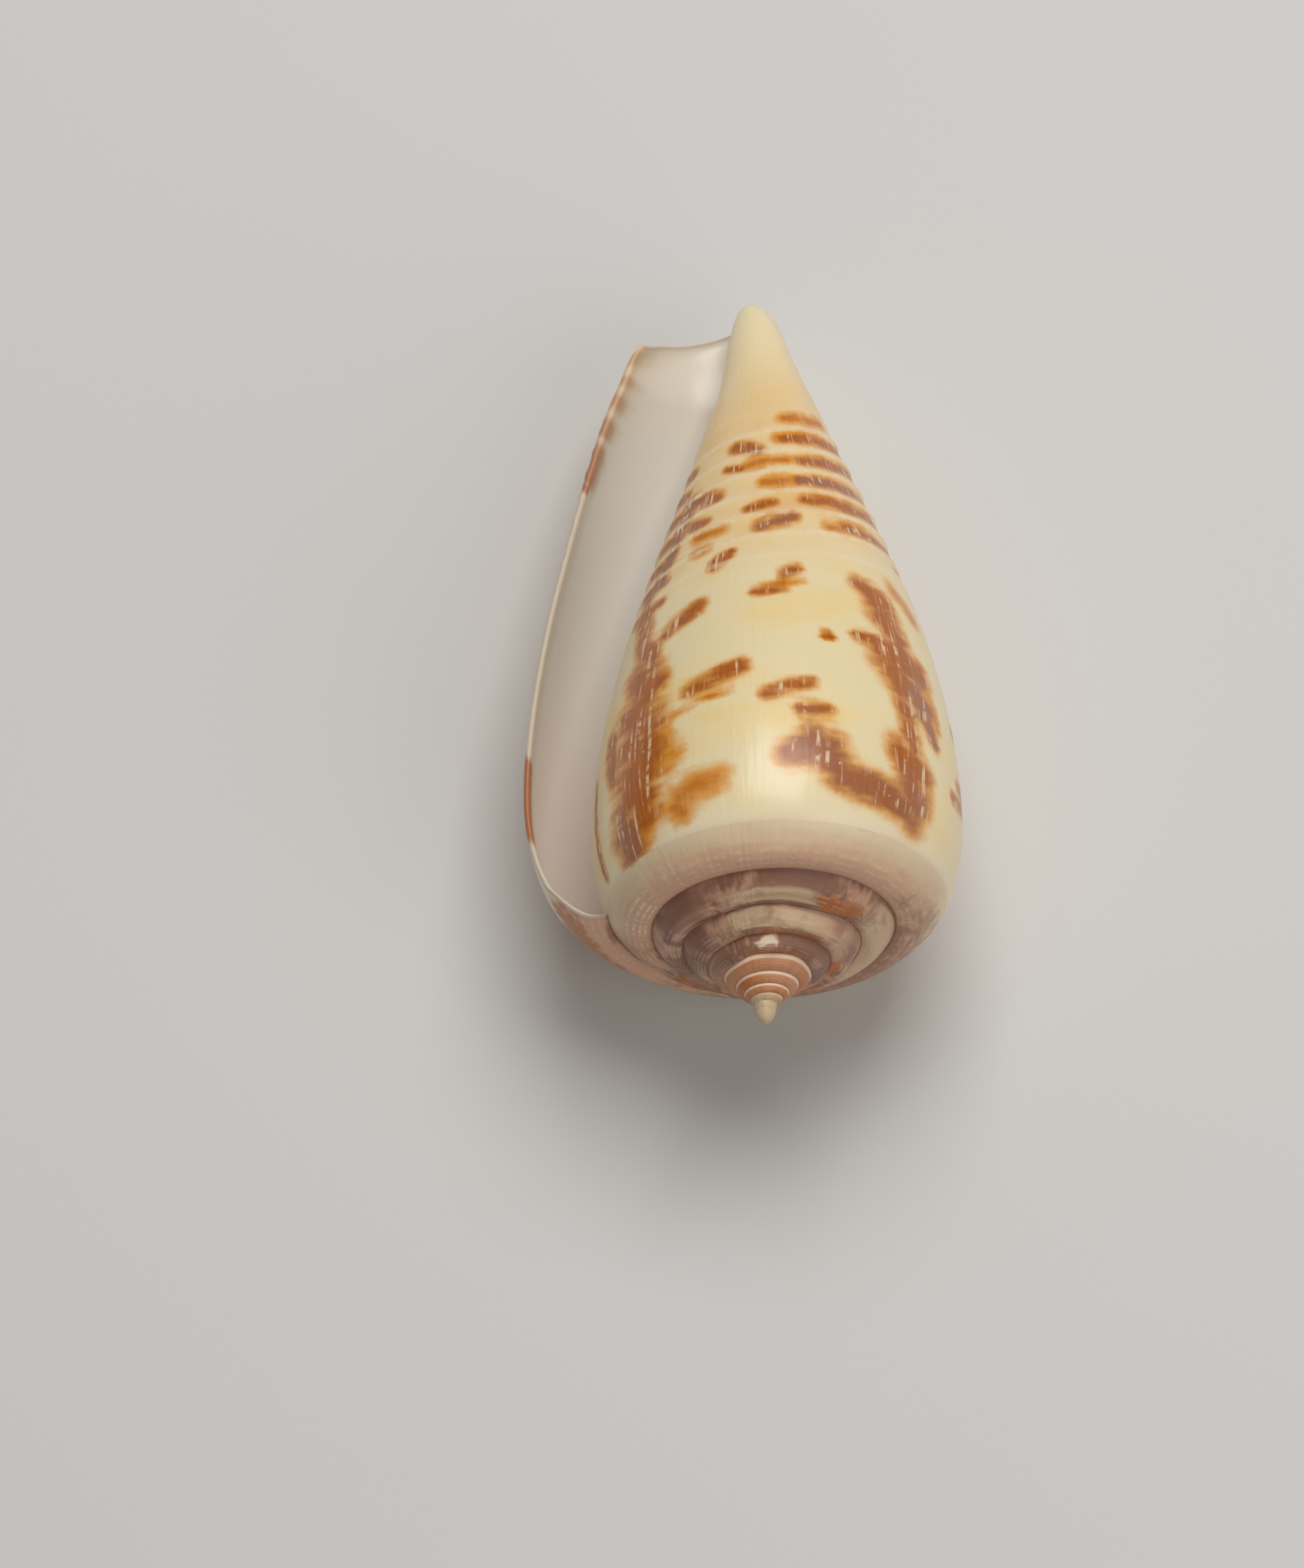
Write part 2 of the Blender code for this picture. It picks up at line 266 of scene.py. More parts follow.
# %% [markdown]
# The mouth is the space between the last turn's wall and the turn before. It
# reaches up under the ramp nearly to the suture, and narrows to nothing deep
# inside. Its inner wall is worked out between the same two surfaces, so the wall
# keeps an even thickness. The columns on the ramp and the shoulder share the
# floor's columns two by two, because the floor has only the shoulder there.

# %% Inner surface
MOUTH_FIRST = 1
FLOOR_FIRST = RAMP_STEPS + 1
PAIRED_UNTIL = 2 * RAMP_STEPS + 1
LEAST_GAP = 0.06


def floor_column(column):
    """Column of the turn before that faces this column of the last turn."""
    if column >= PAIRED_UNTIL:
        return column
    return FLOOR_FIRST + (column - MOUTH_FIRST) // 2


def mouth_depth(column):
    """How many turns the mouth reaches back over this column of the floor."""
    return MOUTH_DEPTH_TURNS + DEEP_TURNS * smooth((3.0 - COLUMNS[column]) / 0.8)


def floor_relief(turn):
    """The ribs are glazed over on the turn before, just inside the mouth."""
    return smooth((turn + 1.0) / 0.05 + 1.0)


def inner(turn, column):
    """Part of the way from the floor of the mouth to the outer surface."""
    facing = floor_column(column)
    floor = outer(turn - 1.0, COLUMNS[facing], floor_relief(turn - 1.0))
    span = outer(turn, COLUMNS[column], 0.0) - floor
    thickness = LIP_THICKNESS + (WALL_THICKNESS - LIP_THICKNESS) * smooth(-turn / 0.2)
    closing = smooth((turn + mouth_depth(facing)) / 0.2)
    roof = smooth((column - MOUTH_FIRST) / 4.0)
    share = max(LEAST_GAP, 1.0 - thickness / max(span.length, 0.001)) * closing * roof
    return floor + span * share


# %% [markdown]
# The colours were laid down at the lip while the shell grew, so they are placed by
# growth turn and height, not by looking at the finished shape. Two columns of
# flames stand on the side in view, with loose dashes between them. Every mark is a
# stroke between two points with a half width, and its strength falls off softly
# from its middle line, so that the glaze can tear its edge later.

# %% Strokes in view, as turn and height of both ends and half width


def groove(number):
    """Height of a space between two ribs, where the front dashes sit."""
    return RIBS_FROM + RIB_PITCH * number


RIGHT_FLAME = [
    (-0.640, 20.0, -0.606, 19.4, 0.55), (-0.622, 19.2, -0.606, 17.0, 0.85),
    (-0.655, 16.7, -0.596, 16.4, 0.42), (-0.628, 15.9, -0.586, 15.4, 1.05),
    (-0.618, 15.0, -0.588, 13.8, 1.10), (-0.616, 13.4, -0.606, 12.5, 0.60),
    (-0.598, 13.8, -0.574, 12.0, 0.45), (-0.612, 12.2, -0.606, 10.9, 0.60),
    (-0.624, 10.6, -0.594, 9.7, 0.85), (-0.612, 9.6, -0.600, 7.9, 1.10),
    (-0.680, 8.5, -0.612, 7.9, 0.80), (-0.722, 9.5, -0.690, 10.0, 0.90),
    (-0.702, 10.2, -0.680, 8.7, 0.95), (-0.714, 11.9, -0.690, 11.9, 0.40)]
LEFT_FLAME = [
    (-0.872, 18.2, -0.860, 17.2, 0.60), (-0.880, 16.8, -0.862, 15.4, 1.10),
    (-0.850, 15.4, -0.876, 14.2, 0.60), (-0.884, 14.2, -0.858, 12.4, 1.40),
    (-0.880, 12.4, -0.858, 10.6, 1.60), (-0.880, 10.6, -0.866, 8.6, 1.50),
    (-0.892, 8.4, -0.890, 6.8, 1.20), (-0.914, 14.0, -0.908, 11.4, 0.60),
    (-0.904, 22.2, -0.880, 18.0, 0.60), (-0.950, 12.4, -0.948, 6.9, 0.30)]
LOOSE_DASHES = [
    (-0.744, 12.9, -0.704, 13.5, 0.40), (-0.722, 20.3, -0.706, 20.6, 0.32),
    (-0.752, 19.3, -0.722, 19.5, 0.32), (-0.800, 21.6, -0.782, 22.0, 0.32),
    (-0.812, 14.0, -0.766, 14.7, 0.55), (-0.850, 18.5, -0.812, 19.3, 0.50),
    (-0.688, 16.4, -0.684, 16.4, 0.30)]
RIB_DASHES = [
    (-0.690, groove(6) + 0.1, -0.540, groove(6), 0.30), (-0.668, groove(5) - 0.1, -0.540, groove(5), 0.40),
    (-0.682, groove(4), -0.545, groove(4) - 0.1, 0.36), (-0.680, groove(3) + 0.1, -0.550, groove(3), 0.38),
    (-0.742, groove(2) - 0.1, -0.704, groove(2) + 0.3, 0.46),
    (-0.630, groove(2), -0.545, groove(2) - 0.3, 0.36),
    (-0.786, groove(6) + 0.1, -0.742, groove(6) - 0.5, 0.40),
    (-0.760, groove(3) - 0.2, -0.724, groove(3), 0.30),
    (-0.850, groove(4) + 0.3, -0.810, groove(4) - 0.1, 0.44), (-0.885, 22.6, -0.862, 27.0, 0.50),
    (-0.848, groove(3) + 0.1, -0.822, groove(3) - 0.1, 0.34),
    (-0.800, groove(5) + 0.2, -0.772, groove(5) - 0.1, 0.24),
    (-0.800, groove(1) - 0.3, -0.778, groove(1), 0.26)]
RIB_DASHES += [(-0.925, groove(n) + 0.3, -0.866 - 0.004 * n, groove(n), 0.32) for n in range(0, 7)]
AMBER_PATCHES = [
    (-0.826, 8.2, -0.788, 8.6, 0.80), (-0.832, 7.7, -0.822, 7.4, 0.65), (-0.856, 11.8, -0.836, 12.1, 0.50),
    (-0.858, 10.3, -0.828, 10.6, 0.70), (-0.862, 15.2, -0.846, 15.6, 0.50),
    (-0.830, 12.9, -0.772, 13.5, 0.22),
    (-0.688, 16.4, -0.685, 16.4, 0.30), (-0.764, groove(5), -0.735, groove(5), 0.45),
    (-0.735, groove(4), -0.695, groove(4), 0.45), (-0.830, groove(2) + 0.4, -0.795, groove(2) + 0.3, 0.45),
    (-0.828, groove(1) + 0.8, -0.812, groove(1) + 0.8, 0.40),
    (-0.655, groove(2) - 0.2, -0.600, groove(2), 0.45),
    (-0.680, groove(7), -0.570, groove(7), 0.40),
    (-0.860, 9.0, -0.866, 7.2, 0.60), (-0.745, groove(5) + 0.1, -0.690, groove(5), 0.34),
    (-0.700, groove(6) + 0.2, -0.570, groove(6), 0.42), (-0.560, 19.2, -0.585, 20.4, 0.50),
    (-0.580, 16.2, -0.566, 13.0, 0.40), (-0.742, 19.6, -0.700, 19.8, 0.24)]
VIOLET_AREAS = [
    (-0.705, 10.6, -0.655, 8.2, 1.5), (-0.628, 8.6, -0.600, 8.0, 1.2), (-0.590, 14.4, -0.580, 11.0, 1.0),
    (-0.885, 22.6, -0.862, 28.0, 1.1), (-0.670, groove(4), -0.600, groove(4), 0.6),
    (-0.745, groove(2), -0.705, groove(2), 0.7), (-0.905, 8.6, -0.896, 6.4, 1.0)]
LIP_MARKS = [
    (0.0, 8.6, 0.0, 12.2, 0.34), (0.0, 28.3, 0.0, 30.2, 0.46), (0.0, 31.4, 0.0, 31.9, 0.44),
    (0.0, 33.2, 0.0, 33.5, 0.40), (0.0, 34.7, 0.0, 34.8, 0.36), (0.0, 36.4, 0.0, 36.8, 0.50)]
print("strokes in view", len(RIGHT_FLAME + LEFT_FLAME + LOOSE_DASHES + RIB_DASHES + AMBER_PATCHES))

# %% [markdown]
# The ramps of the spire are marked too. Worn cream, orange-brown and dusky purple
# patches lie on the whorls before the last, and a brown blotch on the ramp at the
# foot of the lip. One dark patch on the underside of the last ramp is painted shade,
# drawn with the dusky colour. Each is a stretch of turns and a share of the ramp's width.

# %% Patches on the ramps, as first and last turn, and inner and outer share
PALE_PATCHES = [
    (-2.90, -2.48, 0.34, 1.20), (-1.60, -1.30, -0.20, 1.20), (-1.85, -1.64, 0.20, 0.80),
    (-2.52, -2.10, 0.50, 1.20), (-1.30, -1.05, 0.40, 1.20)]
ORANGE_PATCHES = [
    (-1.69, -1.56, 0.02, 0.80), (-2.84, -2.56, -0.30, 0.44), (-0.22, 0.04, 0.30, 1.60),
    (-1.22, -1.10, 0.00, 0.50), (-2.40, -2.24, 0.10, 0.60), (-0.38, -0.26, 0.30, 1.30),
    (-3.86, -3.56, -0.20, 0.50), (-2.50, -2.42, -0.20, 0.50)]
# Dusky purple patches; the one from turn -0.60 to -0.10 is painted shade on the underside of the last ramp.
DUSK_AND_SHADE_PATCHES = [
    (-2.00, -1.76, 0.30, 1.20), (-1.76, -1.60, 0.66, 1.20), (-3.06, -2.86, -0.20, 1.20),
    (-3.98, -3.30, -0.20, 0.90), (-0.06, -0.01, -0.06, 0.16), (-3.28, -3.08, 0.10, 0.90),
    (-0.60, -0.10, -0.60, 1.10), (-1.36, -1.04, -0.30, 0.90), (-2.20, -1.98, -0.20, 1.20)]
print("patches on the ramps", len(PALE_PATCHES + ORANGE_PATCHES + DUSK_AND_SHADE_PATCHES))

# %% [markdown]
# The photograph doesn't show the back, so its pattern is a guess: the same kind of
# marks, with a flame about every quarter turn and dashes between, drawn by a seeded
# random walk.

# %% Strokes on the hidden side
PATTERN_SEED = 11
BROWN_SHARE = 0.6
SHOULDER_HEIGHT = 7.4
FIRST_RIB_HEIGHT = 20.0


def hidden_flame(walk, turn):
    """One column of torn patches from the shoulder to the first rib."""
    strokes = []
    height = SHOULDER_HEIGHT
    while height < FIRST_RIB_HEIGHT:
        reach = walk.uniform(0.006, 0.026)
        middle = turn + walk.uniform(-0.014, 0.014)
        rise = walk.uniform(0.1, 0.7)
        strokes.append((middle - reach, height, middle + reach, height + rise, walk.uniform(0.4, 0.9)))
        height += walk.uniform(0.9, 1.9)
    return strokes


def hidden_dashes(walk, low, high, first, last, count):
    """Loose dashes spread over a range of turns and heights."""
    strokes = []
    for _ in range(count):
        turn = walk.uniform(low, high)
        height = walk.uniform(first, last)
        reach = walk.uniform(0.01, 0.028)
        rise = walk.uniform(0.2, 0.8)
        half = walk.uniform(0.26, 0.45)
        strokes.append((turn - reach, height, turn + reach, height + rise, half))
    return strokes


walk = random.Random(PATTERN_SEED)
HIDDEN_BROWN = hidden_flame(walk, -0.365) + hidden_flame(walk, -0.115)
HIDDEN_BROWN += hidden_dashes(walk, -0.53, -0.43, 9.0, FIRST_RIB_HEIGHT, 5)
HIDDEN_BROWN += hidden_dashes(walk, -0.29, -0.19, 9.0, FIRST_RIB_HEIGHT, 5)
HIDDEN_AMBER = hidden_dashes(walk, -0.52, -0.02, 8.0, FIRST_RIB_HEIGHT, 12)
for number in range(1, 8):
    turn = -0.55 + walk.uniform(0.0, 0.05)
    while turn < -0.03:
        length = walk.uniform(0.02, 0.16)
        low_end = groove(number) + walk.uniform(-0.14, 0.14)
        high_end = low_end + walk.uniform(-0.12, 0.12)
        dash = (turn, low_end, turn + length, high_end, walk.uniform(0.16, 0.38))
        (HIDDEN_BROWN if walk.random() < BROWN_SHARE else HIDDEN_AMBER).append(dash)
        turn += length + walk.uniform(0.02, 0.13)
BROWN = RIGHT_FLAME + LEFT_FLAME + LOOSE_DASHES + RIB_DASHES + LIP_MARKS + HIDDEN_BROWN
AMBER = AMBER_PATCHES + HIDDEN_AMBER
print("brown strokes", len(BROWN), "amber strokes", len(AMBER))

# %% Strength of the strokes at a point


def girth(height):
    """Length once round the last whorl at this height."""
    share = max(0.0, (height - WIDEST.y) / (NECK.y - WIDEST.y))
    return 2.0 * math.pi * (WIDEST.x - (WIDEST.x - NECK.x) * share ** 1.35)


def strength(turn, height, strokes):
    """1 on a stroke's middle line, a half at its edge, 0 at twice its half width."""
    best = 0.0
    for turn_a, height_a, turn_b, height_b, half in strokes:
        if not (min(height_a, height_b) - 2.0 * half < height < max(height_a, height_b) + 2.0 * half):
            continue
        around = girth(height)
        run = Vector(((turn_b - turn_a) * around, height_b - height_a))
        reach = Vector(((turn - turn_a) * around, height - height_a))
        share = min(max(reach.dot(run) / max(run.length_squared, 0.0001), 0.0), 1.0)
        taper = half * (0.84 + 0.16 * math.sin(math.pi * share)) if run.y < run.x else half
        best = max(best, 1.0 - 0.5 * (reach - run * share).length / taper)
    return best


def patch_strength(turn, across, patches):
    """1 in the middle of a patch on the ramp, falling softly to 0 at its edges."""
    best = 0.0
    for turn_a, turn_b, across_a, across_b in patches:
        beside = min(turn - turn_a, turn_b - turn) / (turn_b - turn_a)
        above = min(across - across_a, across_b - across) / (across_b - across_a)
        best = max(best, smooth(beside * 3.0) * smooth(above * 3.0))
    return best


# %% [markdown]
# Each strip of wall is a row of edges that is extruded one growth step at a time,
# and each new row is moved to its place on the spiral. Every corner remembers its
# growth turn and place along the wall, its distances in millimetres, the strength
# of the marks there, painted shade included, and the side of the wall it is on, in four UV maps.

# %% Growing a strip of wall
OUTSIDE, RIM, INSIDE = 0.0, 0.5, 1.0
GIRTH_OVER_SUTURE = 1.3
MAPS = ("growth", "measure", "marks", "wall")


def place(turn, point):
    """Put a radius and height at the angle of this turn."""
    angle = 2.0 * math.pi * turn
    return Vector((-point.x * math.cos(angle), point.y, point.x * math.sin(angle)))


def drawn_height(along):
    """Height on the driving outline, the same for every turn."""
    if along < 1.0:
        return 0.0
    if along <= 3.0:
        return side(along).y
    return NECK.y + (SHELL_LENGTH - NECK.y) * (along - 3.0)


def growth_marks(turn, along, wall_side):
    """What a corner remembers, one pair for each UV map."""
    whorl = suture_radius(turn)
    around = GIRTH_OVER_SUTURE * 2.0 * math.pi * whorl / math.log(WHORL_GROWTH)
    height = drawn_height(along)
    across = height if along >= 1.0 else EDGE.y - (1.0 - along) * whorl * (WHORL_GROWTH - 1.0)
    if wall_side == INSIDE:
        marks, dusky_and_shade = (strength(turn, height, LIP_MARKS), 0.0), 0.0
    elif along < 1.0:
        marks = (patch_strength(turn, along, PALE_PATCHES), patch_strength(turn, along, ORANGE_PATCHES))
        # On the underside of the last ramp this strength is painted shade.
        dusky_and_shade = patch_strength(turn, along, DUSK_AND_SHADE_PATCHES)
    elif turn < -1.001:
        marks, dusky_and_shade = (0.0, 0.0), 0.0
    else:
        marks = (strength(turn, height, BROWN), strength(turn, height, AMBER))
        dusky_and_shade = strength(turn, height, VIOLET_AREAS)
    return (turn, along), (around, across), marks, (wall_side, dusky_and_shade)


def grow(target, steps, columns, locate, wall_side):
    """Extrude a row of edges through all the steps. locate gives turn, along and place."""
    bm = bmesh.new()
    layers = [bm.loops.layers.uv.new(name) for name in MAPS]
    remembered = {}
    row = []
    for column in columns:
        turn, along, spot = locate(steps[0], column)
        vert = bm.verts.new(spot)
        remembered[vert] = growth_marks(turn, along, wall_side)
        row.append(vert)
    edges = [bm.edges.new(pair) for pair in zip(row, row[1:])]
    for step in steps[1:]:
        order = {vert: k for k, vert in enumerate(row)}
        made = bmesh.ops.extrude_edge_only(bm, edges=edges)["geom"]
        row = [None] * len(columns)
        for vert in (item for item in made if isinstance(item, bmesh.types.BMVert)):
            k = next(order[e.other_vert(vert)] for e in vert.link_edges if e.other_vert(vert) in order)
            turn, along, spot = locate(step, columns[k])
            vert.co = spot
            remembered[vert] = growth_marks(turn, along, wall_side)
            row[k] = vert
        edges = [bm.edges.get(pair) for pair in zip(row, row[1:])]
    for corner in (corner for face in bm.faces for corner in face.loops):
        for layer, pair in zip(layers, remembered[corner.vert]):
            corner[layer].uv = pair
    strip = bpy.data.meshes.new("strip")
    bm.to_mesh(strip)
    bm.free()
    target.from_mesh(strip)
    bpy.data.meshes.remove(strip)


def on_outside(step, column):
    """Outer surface at a growth step."""
    turn = step / STEPS_PER_TURN
    return turn, COLUMNS[column], place(turn, outer(turn, COLUMNS[column]))


def on_inside(step, column):
    """Inner surface of the wall at a step inside the mouth."""
    turn = mouth_depth(floor_column(column)) * step / MOUTH_STEPS
    return turn, COLUMNS[column], place(turn, inner(turn, column))


def on_floor(step, column):
    """Wall of the turn before, which is the floor of the mouth."""
    turn = mouth_depth(column) * step / MOUTH_STEPS - 1.0
    return turn, COLUMNS[column], place(turn, outer(turn, COLUMNS[column], floor_relief(turn)))


# %% [markdown]
# The lip is not a square cut. Its edge is a half round that swings from the outer
# to the inner surface, forward in the growth direction along the lip and towards
# the front end along the front edge, blending from one to the other at the corner.

# %% Rounded edge of the lip
EDGE_PATH = [(step / STEPS_PER_TURN, LAST_COLUMN) for step in range(-STEPS_PER_TURN // 2, 0)]
EDGE_PATH += [(0.0, column) for column in range(LAST_COLUMN, MOUTH_FIRST - 1, -1)]


def on_rim(step, where):
    """Half round between the outer and the inner edge of the wall."""
    turn, column = where
    along = COLUMNS[column]
    outside = place(turn, outer(turn, along))
    inside = place(turn, inner(turn, column))
    swing = math.pi * step / RIM_STEPS
    half = (outside - inside) * 0.5
    along_lip = smooth((4.0 - along) / 0.5) if turn == 0.0 else 0.0
    corner = 0.5 + 0.5 * along_lip if turn == 0.0 else 0.5 * smooth(turn / 0.03 + 1.0)
    heading = place(turn, Vector((1.0, 0.0))).cross(Vector((0.0, 1.0, 0.0))) * -corner
    heading += Vector((0.0, 1.0, 0.0)) * (1.0 - corner)
    bulge = min(half.length, RIM_REACH) * smooth((last_half(turn) - 0.12) / 0.5)
    spot = (outside + inside) * 0.5 + half * math.cos(swing) + heading.normalized() * bulge * math.sin(swing)
    return turn, along, spot


shell_mesh = bmesh.new()
for name in MAPS:
    shell_mesh.loops.layers.uv.new(name)
spire_steps = range(FIRST_TURN * STEPS_PER_TURN, -STEPS_PER_TURN + 1)
grow(shell_mesh, spire_steps, range(RAMP_STEPS + 1), on_outside, OUTSIDE)
grow(shell_mesh, range(-STEPS_PER_TURN, 1), range(LAST_COLUMN + 1), on_outside, OUTSIDE)
grow(shell_mesh, range(-MOUTH_STEPS, 1), range(MOUTH_FIRST, LAST_COLUMN + 1), on_inside, INSIDE)
grow(shell_mesh, range(-MOUTH_STEPS, 1), range(FLOOR_FIRST, LAST_COLUMN + 1), on_floor, OUTSIDE)
grow(shell_mesh, range(0, RIM_STEPS + 1), EDGE_PATH, on_rim, RIM)
print("strips", len(shell_mesh.verts), "corners")

# %% [markdown]
# The strips meet at the sutures, along the roof of the mouth and at the lip. Equal
# corners are merged, and the two last holes are capped: the foot of the lip and
# the apex, which gets the little smooth dome that a shell has when it hatches.

# %% Closing the shell
DOME_RINGS = 12
MERGE = 0.0005
CUT_REACH = 0.0000001
SHARP_ANGLE = math.radians(60.0)


def close_holes(bm):
    """Cap the foot of the lip and give the first whorl its small dome."""
    open_edges = [edge for edge in bm.edges if edge.is_boundary]
    caps = bmesh.ops.holes_fill(bm, edges=open_edges, sides=0)["faces"]
    dome = min(caps, key=lambda face: face.calc_center_median().length)
    layers = [bm.loops.layers.uv[name] for name in MAPS]
    for cap in caps:
        kept = growth_marks(FIRST_TURN, 0.0, OUTSIDE) if cap is dome else growth_marks(0.0, 0.5, RIM)
        for corner in cap.loops:
            for layer, pair in zip(layers, kept):
                corner[layer].uv = pair
    ring_width = suture_radius(FIRST_TURN + 1.0) / (DOME_RINGS + 1)
    for _ in range(DOME_RINGS):
        bmesh.ops.inset_region(bm, faces=[dome], thickness=ring_width, depth=0.0)
        for vert in dome.verts:
            vert.co.y = spire_height(math.hypot(vert.co.x, vert.co.z))
    centre = bmesh.ops.poke(bm, faces=[dome])["verts"][0]
    centre.co = Vector((0.0, 0.0, 0.0))


bmesh.ops.remove_doubles(shell_mesh, verts=shell_mesh.verts, dist=MERGE)
bmesh.ops.dissolve_degenerate(shell_mesh, dist=MERGE, edges=shell_mesh.edges)
print("open before capping", len([edge for edge in shell_mesh.edges if edge.is_boundary]))
close_holes(shell_mesh)
loose_ends = [edge for edge in shell_mesh.edges if not edge.is_manifold]
print("open edges", len(loose_ends), "faces", len(shell_mesh.faces))

# %% [markdown]
# The shell is turned onto its back and set down where the solid lies, then the
# rest spot is cut level so that it lies flat. The surface is kept a hair inside
# the faceted solid's box.

# %% Laying the shell down
bmesh.ops.transform(shell_mesh, matrix=Matrix.Rotation(LIFT, 4, "X"), verts=shell_mesh.verts)
bmesh.ops.translate(shell_mesh, vec=APEX_PLACE, verts=shell_mesh.verts)
size = MM * BOX_MARGIN
bmesh.ops.scale(shell_mesh, vec=(size, size, size), verts=shell_mesh.verts)
cut = bmesh.ops.bisect_plane(
    shell_mesh, geom=shell_mesh.verts[:] + shell_mesh.edges[:] + shell_mesh.faces[:],
    dist=CUT_REACH, plane_co=(0.0, 0.0, 0.0), plane_no=(0.0, 0.0, -1.0), clear_outer=True)
cut_edges = [item for item in cut["geom_cut"] if isinstance(item, bmesh.types.BMEdge)]
bmesh.ops.holes_fill(shell_mesh, edges=cut_edges, sides=0)
bmesh.ops.recalc_face_normals(shell_mesh, faces=shell_mesh.faces)
shell_data = bpy.data.meshes.new("grown_shell")
shell_mesh.to_mesh(shell_data)
shell_mesh.free()
shell_data.shade_smooth()
shell_data.set_sharp_from_angle(angle=SHARP_ANGLE)
grown_shell = bpy.data.objects.new("grown_shell", shell_data)
bpy.context.scene.collection.objects.link(grown_shell)
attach(grown_shell, "root")
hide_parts("shell")
print("triangles", sum(len(face.vertices) - 2 for face in shell_data.polygons))

# %% [markdown]
# The glaze. A small class lets shader sockets be written as sums and products, so
# the pattern below reads like a formula.

# %% Shader sums


class Value:
    """A shader socket that takes part in sums."""

    def __init__(self, nodes, socket):
        self.nodes = nodes
        self.socket = socket

    def math(self, operation, *others):
        """One Math node on this value and up to two others."""
        sockets = {0: self, **dict(enumerate(others, 1))}
        return self.nodes.add("ShaderNodeMath", {"operation": operation}, sockets)

    def __add__(self, other):
        return self.math("ADD", other)

    def __sub__(self, other):
        return self.math("SUBTRACT", other)

    def __mul__(self, other):
        return self.math("MULTIPLY", other)

    def __truediv__(self, other):
        return self.math("DIVIDE", other)

    def __rsub__(self, other):
        return self.nodes.add("ShaderNodeMath", {"operation": "SUBTRACT"}, {0: other, 1: self})

    __radd__ = __add__
    __rmul__ = __mul__

    def up_from(self, low, high):
        """Soft step: 0 below low, 1 above high."""
        return self.nodes.add("ShaderNodeMapRange", {"interpolation_type": "SMOOTHSTEP"},
                              {"Value": self, "From Min": low, "From Max": high})

    def down_from(self, low, high):
        """Soft step: 1 below low, 0 above high."""
        return 1.0 - self.up_from(low, high)


class Nodes:
    """The node tree of one material."""

    def __init__(self, name):
        self.material = bpy.data.materials.new(name)
        self.material.use_nodes = True
        self.tree = self.material.node_tree
        self.surface = self.tree.nodes["Principled BSDF"]

    def put(self, socket, value):
        """Link a value, or set a constant on the socket itself."""
        if isinstance(value, Value):
            self.tree.links.new(value.socket, socket)
        else:
            socket.default_value = value

    def add(self, kind, settings, inputs, output=0):
        """Any node: its settings first, then its sockets."""
        node = self.tree.nodes.new(kind)
        for name, setting in settings.items():
            setattr(node, name, setting)
        for name, value in inputs.items():
            self.put(node.inputs[name], value)
        return Value(self, node.outputs[output])

    def pair(self, name):
        """Both numbers of one UV map."""
        uv = self.add("ShaderNodeUVMap", {"uv_map": name}, {})
        return [self.add("ShaderNodeSeparateXYZ", {}, {0: uv}, k) for k in (0, 1)]

    def grain(self, x, y, detail=2.0, shift=0.0):
        """Noise over two distances that are already in noise cells."""
        where = self.add("ShaderNodeCombineXYZ", {}, {0: x, 1: y, 2: shift})
        return self.add("ShaderNodeTexNoise", {}, {"Vector": where, "Scale": 1.0, "Detail": detail})

    def mix(self, share, first, second):
        """Blend two colours."""
        return self.add("ShaderNodeMix", {"data_type": "RGBA"}, {0: share, 6: first, 7: second}, 2)


def tint(red, green, blue):
    """A colour read on the 0 to 255 scale of a screen."""
    def light(part):
        part = part / 255.0
        return part / 12.92 if part <= 0.04045 else ((part + 0.055) / 1.055) ** 2.4
    return light(red), light(green), light(blue), 1.0


print("white is", [round(part, 2) for part in tint(255, 255, 255)])

# %% [markdown]
# Colours of the shell, from the lightest glaze to the darkest flame.

# %% Colours
CREAM = tint(246, 227, 180)
BUTTER = tint(252, 216, 136)
SHOULDER = tint(250, 232, 196)
FRONT = tint(249, 213, 152)
TIP = tint(253, 235, 190)
AMBER_TINT = tint(232, 150, 26)
DARK_AMBER = tint(204, 112, 0)
FLAME = tint(172, 86, 0)
PLUM = tint(164, 98, 66)
STREAK = tint(252, 232, 196)
SAND = tint(232, 202, 160)
LIP_EDGE = tint(214, 198, 176)
MAUVE = tint(222, 172, 140)
# Dusky purple, also used for the painted shade on the underside of the last ramp.
DUSK_AND_SHADE = tint(140, 92, 70)
RUST = tint(190, 104, 26)
PALE_WORN = tint(220, 188, 148)
SUTURE_BROWN = tint(124, 66, 38)
# Near black, painted shade inside an open suture gap.
GAP_SHADE = tint(44, 24, 16)
TAN = tint(198, 114, 48)
THREAD = tint(250, 228, 196)
HATCHLING = tint(208, 182, 144)
PORCELAIN = tint(240, 235, 225)
LAVENDER = tint(250, 238, 228)
DEEP_MOUTH = tint(218, 192, 168)

glaze = Nodes("shell_glaze")
turn, along = glaze.pair("growth")
around, across = glaze.pair("measure")
brown, amber = glaze.pair("marks")
wall, violet_and_shade = glaze.pair("wall")

# %% [markdown]
# Ground colour: cream with buttery clouds, warmer between the ribs and pale at the
# very front. Over the shoulder the cream turns to sand, and to mauve next to the
# suture.

